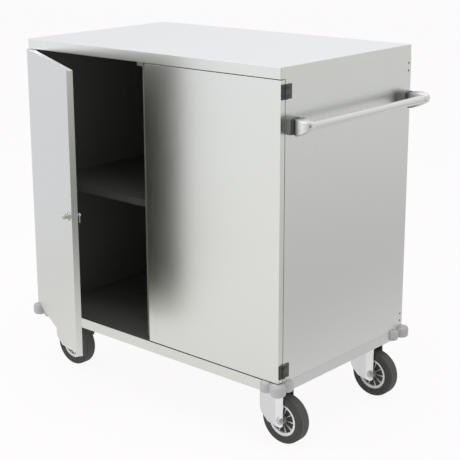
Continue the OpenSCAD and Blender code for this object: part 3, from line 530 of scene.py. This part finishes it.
def bracket_section(x, root_x, bar, root_low, root_high):
    """Outline of the bracket across X: (along the bar, height) points of an upright block."""
    slant_from, slant_to = root_x + flat_underside, bar.x + underside_past
    rise = min(1.0, max(0.0, (x - slant_from) / (slant_to - slant_from)))
    low = root_low + (bar.z - tip_below - root_low) * rise
    high = root_high + (bar.z + limb_r - root_high) * eased(x, root_x + flat_top, bar.x)
    if x > bar.x:
        level = max(0.0, 1 - ((x - bar.x) / limb_r) ** 4) ** 0.25
        low, high = ((low + high) / 2 + way * (high - low) / 2 * level for way in (-1, 1))
    lean = max(0.0, root_x + sweep_r * math.sin(sweep_angle) - x)
    front = sweep_r - math.sqrt(sweep_r ** 2 - lean ** 2) - proud
    nose_x = bar.x + limb_r - nose_r
    if x > nose_x:
        front = nose_r - math.sqrt(max(nose_r ** 2 - (x - nose_x) ** 2, 0.0)) - proud
    rear = root_len + (limb_end - root_len) * eased(x, root_x + shoulder, root_x + shoulder_end)
    edge = min(blunt, (high - low) / 2.02)
    points = []
    for y, z, start in ((front + edge, low + edge, 180), (rear - edge, low + edge, 270),
                        (rear - edge, high - edge, 0), (front + edge, high - edge, 90)):
        for step in range(blunt_steps + 1):
            angle = math.radians(start + 90 * step / blunt_steps)
            points.append((y + edge * math.cos(angle), z + edge * math.sin(angle)))
    return points


def bracket_mesh(name, way):
    """Moulded handle bracket, lofted from its root on the spacer out to the limb around the bar."""
    low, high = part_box(name)
    bar = Vector((high.x - limb_r, 0, high.z - root_up))
    end = low.y + cad_proud if way > 0 else high.y - cad_proud
    stations = [low.x + (bar.x - low.x) * k / limb_steps for k in range(limb_steps + 1)]
    stations += [bar.x + limb_r * math.sin(math.radians(90 * k / nose_steps)) for k in range(1, nose_steps)]
    stations.append(high.x - tip_gap)
    bm = bmesh.new()
    rings = []
    for x in stations:
        section = bracket_section(x, low.x, bar, low.z, high.z)
        rings.append([bm.verts.new((x, end + way * y, z)) for y, z in section])
    for one, two in zip(rings, rings[1:]):
        for k in range(len(one)):
            bm.faces.new([one[k - 1], one[k], two[k], two[k - 1]])
    bm.faces.new(rings[0])
    bm.faces.new(rings[-1])
    return mesh_from(bm, name + "_moulding", crease=38)


for name, way in (("front_handle_bracket", 1), ("rear_handle_bracket", -1)):
    moulding = fit_piece(name + "_moulding", bracket_mesh(name, way), (0, 0, 0), (0, 0, 1), "cabinet",
                         silver_lacquer)
    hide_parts(name)
block_plastic = moulded_plastic("block plastic", (0.17, 0.175, 0.163), (0.21, 0.215, 0.20),
                                rough=(0.35, 0.48))
dress(["handle_blocks"], block_plastic)
dress(["handle_spacers"], black_plastic)

socket_screw = turned("socket_screw", [(0.0037, -0.0006), (0.0037, 0.0001), (0.0034, 0.0003),
                                       (0.0021, 0.0003), (0.0019, -0.0016), (0, -0.0018)])
screw_angle, screw_above_bar = math.radians(62), 0.003
for name, way in (("front", 1), ("rear", -1)):
    low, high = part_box(name + "_handle_bracket")
    end = low.y + cad_proud - proud if way > 0 else high.y - cad_proud + proud
    outwards = Vector((math.sin(screw_angle), -way * math.cos(screw_angle), 0))
    middle = Vector((high.x - nose_r, end + way * nose_r, high.z - root_up + screw_above_bar))
    fit_piece(name + "_bracket_screw", socket_screw, middle + outwards * nose_r, outwards,
              "cabinet", black_screw)


# ---------------------------------------------------------------- corner bumpers
# Soft grey moulded bumpers, each in one piece that wraps a corner of the base rail: a lobe in
# front, one at the side, and one on the corner between them.

bumper_plastic = moulded_plastic("bumper plastic", (0.48, 0.48, 0.485), (0.54, 0.54, 0.545),
                                 rough=(0.3, 0.42))
dress(["bumper_fl", "bumper_fr", "bumper_rl", "bumper_rr"], bumper_plastic)


# ---------------------------------------------------------------- casters
# Pressed and plated forks under a top plate that is bolted to the channels, each with a wheel. The
# two left casters have a moulded brake pedal.

corners = ("fl", "fr", "rl", "rr")
caster_x, caster_y = 0.493, 0.2465
trail, axle_z = 0.026, 0.08


def wheel_place_group():
    """A point's distance from its wheel's axle, from the wheel's middle plane and ahead of the axle."""
    group, _, result = new_group("wheel place", {}, {"Radius": "Float", "Side": "Float", "Ahead": "Float"})
    from_trail = reckon(group, "SUBTRACT", place_along(group, "X"), trail)
    ahead = reckon(group, "SUBTRACT", from_trail,
                   reckon(group, "MULTIPLY", reckon(group, "SIGN", from_trail), caster_x))
    above = reckon(group, "SUBTRACT", place_along(group, "Z"), axle_z)
    square = reckon(group, "ADD", reckon(group, "MULTIPLY", ahead, ahead),
                    reckon(group, "MULTIPLY", above, above))
    off_plane = reckon(group, "SUBTRACT", reckon(group, "ABSOLUTE", place_along(group, "Y")), caster_y)
    group.links.new(reckon(group, "SQRT", square), result.inputs["Radius"])
    group.links.new(reckon(group, "ABSOLUTE", off_plane), result.inputs["Side"])
    group.links.new(ahead, result.inputs["Ahead"])
    return group


wheel_place = wheel_place_group()


def fork_legs(tree):
    """Mask of the fork's straight legs behind the crease; the nose before it gets painted shade."""
    ahead = add(tree, "Group", node_tree=wheel_place).outputs["Ahead"]
    return spread(tree, ahead, 0.0, 1.0, from_low=-0.021, from_high=-0.019)


# The fork's nose gets painted shade where it turns away from the light.
fork_zinc = zinc_plate("fork zinc", (0.97, 0.97, 0.975), bright=fork_legs)
axle_zinc = zinc_plate("axle zinc", (0.64, 0.645, 0.645))
dress([p + c for p in ("caster_plate_", "fork_") for c in corners], fork_zinc)
dress(["axle_" + c for c in corners], axle_zinc)
pedal_plastic = moulded_plastic("pedal plastic", (0.22, 0.23, 0.23), (0.28, 0.29, 0.29))
dress(["brake_pedal_fl", "brake_pedal_rl"], pedal_plastic)

washer_r, bolt_r, hex_sides = 0.0088, 0.0075, 6
plate_washer = turned("plate_washer", [(0, -0.0006), (washer_r, -0.0006), (washer_r, 0.0010),
                                       (bolt_r, 0.0011)])
plate_bolt = turned("plate_bolt", [(0, 0.0006), (0.0072, 0.0006), (bolt_r, 0.0010), (bolt_r, 0.0054),
                                   (0.0070, 0.0060), (0, 0.0062)], segments=hex_sides)
seal_in = 0.0305
seal_ring = turned("seal_ring", [(seal_in, 0), (0.0342, 0), (0.0346, 0.0004), (0.0342, 0.0010),
                                 (seal_in, 0.0010), (seal_in, 0)], segments=64)
thread_r, thread_cut, thread_steps = 0.0058, 0.0005, 6
threads = [(thread_r - thread_cut * (k % 2), thread_cut * k) for k in range(1, thread_steps + 1)]
axle_end = turned("axle_end", [(thread_r, 0)] + threads + [(0.0048, 0.0036), (0, 0.0036)])
plate_under, seal_z, axle_end_y = 0.191, 0.1833, -0.0354
bolt_x, bolt_y, bolt_spin = 0.041, 0.0535, 0.5
for corner in corners:
    across = -1 if corner.endswith("l") else 1
    along = -1 if corner.startswith("f") else 1
    swivel = Vector((across * caster_x, along * caster_y, 0))
    number = 0
    for x in (-bolt_x, bolt_x):
        for y in (-bolt_y, bolt_y):
            number += 1
            spot = swivel + Vector((x, y, plate_under))
            fit_piece(f"plate_washer_{corner}_{number}", plate_washer, spot, (0, 0, -1), "cabinet",
                      fork_zinc)
            fit_piece(f"plate_bolt_{corner}_{number}", plate_bolt, spot, (0, 0, -1), "cabinet",
                      fork_zinc, spin=bolt_spin * number)
    fit_piece("seal_ring_" + corner, seal_ring, swivel + Vector((0, 0, seal_z)), (0, 0, 1), "cabinet",
              black_plastic)
    fit_piece("axle_thread_" + corner, axle_end, swivel + Vector((trail, axle_end_y, axle_z)), (0, -1, 0),
              "caster_" + corner, axle_zinc)


# ---------------------------------------------------------------- wheels
# A grey rubber tyre with moulded rings on a cream rim with spokes, and dark discs behind them. Dust
# gathers where the tread rolls, and painted shade darkens the rim around the hub.

tread_groove, side_grooves, half_groove = 0.0065, (0.0578, 0.0675), 0.0007
ring_rate, ring_height, groove_height = 2600.0, 0.16, -1.4


def tyre_finish():
    """Grey rubber: fine mould rings and two grooves on the side, two grooves on the tread, dusty there,
    painted shade in the grooves.
    """
    mat, tree, shader = finish("tyre rubber")
    place = add(tree, "Group", node_tree=wheel_place).outputs
    speck = noise(tree, own_place(tree), 350.0)
    cloud = noise(tree, own_place(tree), 30.0, detail=5.0)
    colour = colour_mix(tree, spread(tree, cloud, 0.0, 1.0), (0.050, 0.050, 0.049), (0.070, 0.070, 0.068))
    rolled = spread(tree, place["Radius"], 0.0, 0.6, from_low=0.0782, from_high=0.0797)
    colour = colour_mix(tree, rolled, colour, (0.12, 0.118, 0.112))
    grooves = reckon(tree, "COMPARE", place["Side"], tread_groove, half_groove)
    for radius in side_grooves:
        ring = reckon(tree, "COMPARE", place["Radius"], radius, half_groove)
        grooves = reckon(tree, "MAXIMUM", grooves, ring)
    # The grooves are painted darker: painted shade in the recesses.
    colour = colour_mix(tree, spread(tree, grooves, 0.0, 0.75, 0.0, 1.0), colour, (0.012, 0.012, 0.012))
    rings = reckon(tree, "SINE", reckon(tree, "MULTIPLY", place["Radius"], ring_rate))
    height = reckon(tree, "MULTIPLY_ADD", rings, ring_height, speck)
    height = reckon(tree, "MULTIPLY_ADD", grooves, groove_height, height)
    bump = add(tree, "Bump", {"Height": height, "Strength": 0.25, "Distance": 0.0005})
    wire(tree, shader, Base_Color=colour, Roughness=spread(tree, cloud, 0.55, 0.75),
         Normal=bump.outputs["Normal"])
    return mat


def from_axle(tree):
    """A point's distance from its wheel's axle."""
    return add(tree, "Group", node_tree=wheel_place).outputs["Radius"]


dress(["tyre_" + c for c in corners], tyre_finish())
cream_plastic = moulded_plastic("cream plastic", (0.93, 0.93, 0.88), (0.96, 0.96, 0.92), rough=(0.3, 0.42))
# The rim darkens toward the hub: painted shade inside the wheel.
hub_shade, unshaded_rim = 0.022, 0.043
paint_shade_where(cream_plastic, from_axle, hub_shade, unshaded_rim, tone=(0.30, 0.30, 0.28))
dress(["rim_" + c for c in corners], cream_plastic)
disc_plastic = moulded_plastic("dark disc plastic", (0.035, 0.038, 0.035), (0.055, 0.058, 0.055))
dress(["wheel_discs_" + c for c in corners], disc_plastic)


# ---------------------------------------------------------------- floor
# A plain pale floor, which isn't part of the cart. The picture shows it as pale as the backdrop,
# with the cart's shadow on it.

pale = (1.0, 0.985, 0.992)
reach = 30.0
floor_mesh = bpy.data.meshes.new("floor")
floor_mesh.from_pydata([(-reach, -reach, 0), (reach, -reach, 0), (reach, reach, 0), (-reach, reach, 0)],
                       [], [(0, 1, 2, 3)])
floor = bpy.data.objects.new("floor", floor_mesh)
bpy.context.collection.objects.link(floor)


def ramp_between(tree, value, stops):
    """A tone that follows straight lines through (place, tone) stops."""
    low, high = stops[0][0], stops[-1][0]
    place = add(tree, "MapRange", {"Value": value, "From Min": low, "From Max": high})
    ramp = add(tree, "ValToRGB", {"Fac": place.outputs["Result"]})
    marks = ramp.color_ramp.elements
    for k, (at, tone) in enumerate(stops):
        mark = marks[k] if k < 2 else marks.new(1.0)
        mark.position = (at - low) / (high - low)
        mark.color = (*tone, 1.0) if isinstance(tone, tuple) else (tone, tone, tone, 1.0)
    return ramp.outputs["Color"]


floor_mat = bpy.data.materials.new("pale floor")
floor_mat.use_nodes = True
tree = floor_mat.node_tree
tree.nodes.clear()
# what the steel mirrors of the floor: palest in front, dimmer to the left and to the right, and
# dark in one place beyond the front right corner
from_side = ramp_between(tree, place_along(tree, "X"),
                         [(-4.0, (0.92, 0.93, 1.0)), (-2.6, (0.925, 0.935, 0.985)), (-1.5, 0.92),
                          (-0.5, 0.99), (0.6, 0.97), (1.4, 0.665), (3.6, 0.82)])
from_front = ramp_between(tree, place_along(tree, "Y"),
                          [(-3.4, 1.0), (-1.2, 0.89), (-0.2, 0.80), (0.8, 0.82), (2.8, 0.87), (3.6, 0.91)])
dark_side = ramp_between(tree, place_along(tree, "X"), [(1.2, 0.0), (2.2, 1.0), (3.4, 1.0)])
dark_front = ramp_between(tree, place_along(tree, "Y"), [(-2.6, 0.0), (-1.5, 1.0), (-0.5, 1.0), (0.3, 0.0)])
pale_floor = colour_mix(tree, 1.0, from_side, from_front, "MULTIPLY")
dark_place = colour_mix(tree, 1.0, dark_side, dark_front, "MULTIPLY")
mirrored = add(tree, "Emission", {"Color": colour_mix(tree, dark_place, pale_floor, (0.04, 0.041, 0.04))})
matt = add(tree, "BsdfDiffuse", {"Color": (*[c * 0.93 for c in pale], 1.0)})
glow = add(tree, "Emission", {"Color": (*pale, 1.0)})
path = add(tree, "LightPath").outputs
glow_share = 0.93
to_camera = reckon(tree, "MULTIPLY", path["Is Camera Ray"], glow_share)
to_steel = reckon(tree, "MULTIPLY", path["Is Glossy Ray"], glow_share)
plain = add(tree, "MixShader", {0: to_camera, 1: matt.outputs[0], 2: glow.outputs[0]})
whole = add(tree, "MixShader", {0: to_steel, 1: plain.outputs[0], 2: mirrored.outputs[0]})
add(tree, "OutputMaterial", {"Surface": whole.outputs[0]})
floor_mesh.materials.append(floor_mat)


# ---------------------------------------------------------------- surround and lamps
# A pale surround, which the steel mirrors a little dimmer at the sides, and two soft boxes: one in
# front to the left and one above.

world = bpy.data.worlds.new("surround")
bpy.context.scene.world = world
world.use_nodes = True
tree = world.node_tree
tree.nodes.clear()
seen = add(tree, "Background", {"Color": (*pale, 1.0), "Strength": 1.0})
soft = add(tree, "Background", {"Color": (1.0, 1.0, 1.0, 1.0), "Strength": 0.62})
sideways = add(tree, "SeparateXYZ", {0: add(tree, "TexCoord").outputs["Generated"]}).outputs["X"]
mirrored_tone = ramp_between(tree, sideways,
                             [(-1.0, (0.78, 0.785, 0.81)), (-0.6, 0.93), (0.2, 0.93), (0.9, 0.66)])
mirrored = add(tree, "Background", {"Color": mirrored_tone, "Strength": 1.0})
path = add(tree, "LightPath").outputs
unseen = add(tree, "MixShader", {0: path["Is Glossy Ray"], 1: soft.outputs[0], 2: mirrored.outputs[0]})
whole = add(tree, "MixShader", {0: path["Is Camera Ray"], 1: unseen.outputs[0], 2: seen.outputs[0]})
add(tree, "OutputWorld", {"Surface": whole.outputs[0]})


def softbox(name, place, aim, size, power):
    """A square area lamp that faces a point."""
    lamp = bpy.data.lights.new(name, "AREA")
    lamp.shape = "SQUARE"
    lamp.size = size
    lamp.energy = power
    stand = bpy.data.objects.new(name, lamp)
    bpy.context.collection.objects.link(stand)
    stand.location = place
    stand.rotation_euler = (Vector(aim) - Vector(place)).to_track_quat("-Z", "Y").to_euler()


softbox("left softbox", place=(-3.6, -4.2, 3.6), aim=(0, 0, 0.7), size=2.6, power=75)
softbox("top softbox", place=(0.6, -0.8, 4.6), aim=(0, 0, 0.6), size=3.0, power=70)


# ---------------------------------------------------------------- camera
# The photograph's viewpoint, solved from the cabinet's edges: its place in metres, its angles, and
# its focal length and middle in pixels of the square photograph.

photo_px, focal_px = 460, 1182.436
middle_px = (187.412, 202.610)
viewpoint = (2.6530, -2.9543, 1.6932)
azimuth, elevation, roll = math.radians(43.274), math.radians(14.789), math.radians(-0.677)
forward = Vector((-math.sin(azimuth) * math.cos(elevation), math.cos(azimuth) * math.cos(elevation),
                  -math.sin(elevation)))
right = Vector((math.cos(azimuth), math.sin(azimuth), 0))
up = right.cross(forward)
tilted_right = math.cos(roll) * right + math.sin(roll) * up
tilted_up = -math.sin(roll) * right + math.cos(roll) * up
lens = bpy.data.cameras.new("photo camera")
lens.sensor_fit = "HORIZONTAL"
lens.sensor_width = 36.0
lens.lens = focal_px / photo_px * lens.sensor_width
lens.shift_x = (photo_px / 2 - middle_px[0]) / photo_px
lens.shift_y = (middle_px[1] - photo_px / 2) / photo_px
lens.clip_end = 100
camera = bpy.data.objects.new("photo camera", lens)
bpy.context.collection.objects.link(camera)
camera.matrix_world = Matrix.Translation(viewpoint) @ Matrix(
    (tilted_right, tilted_up, -forward)).transposed().to_4x4()
bpy.context.scene.camera = camera
bpy.context.scene.view_settings.view_transform = "Standard"
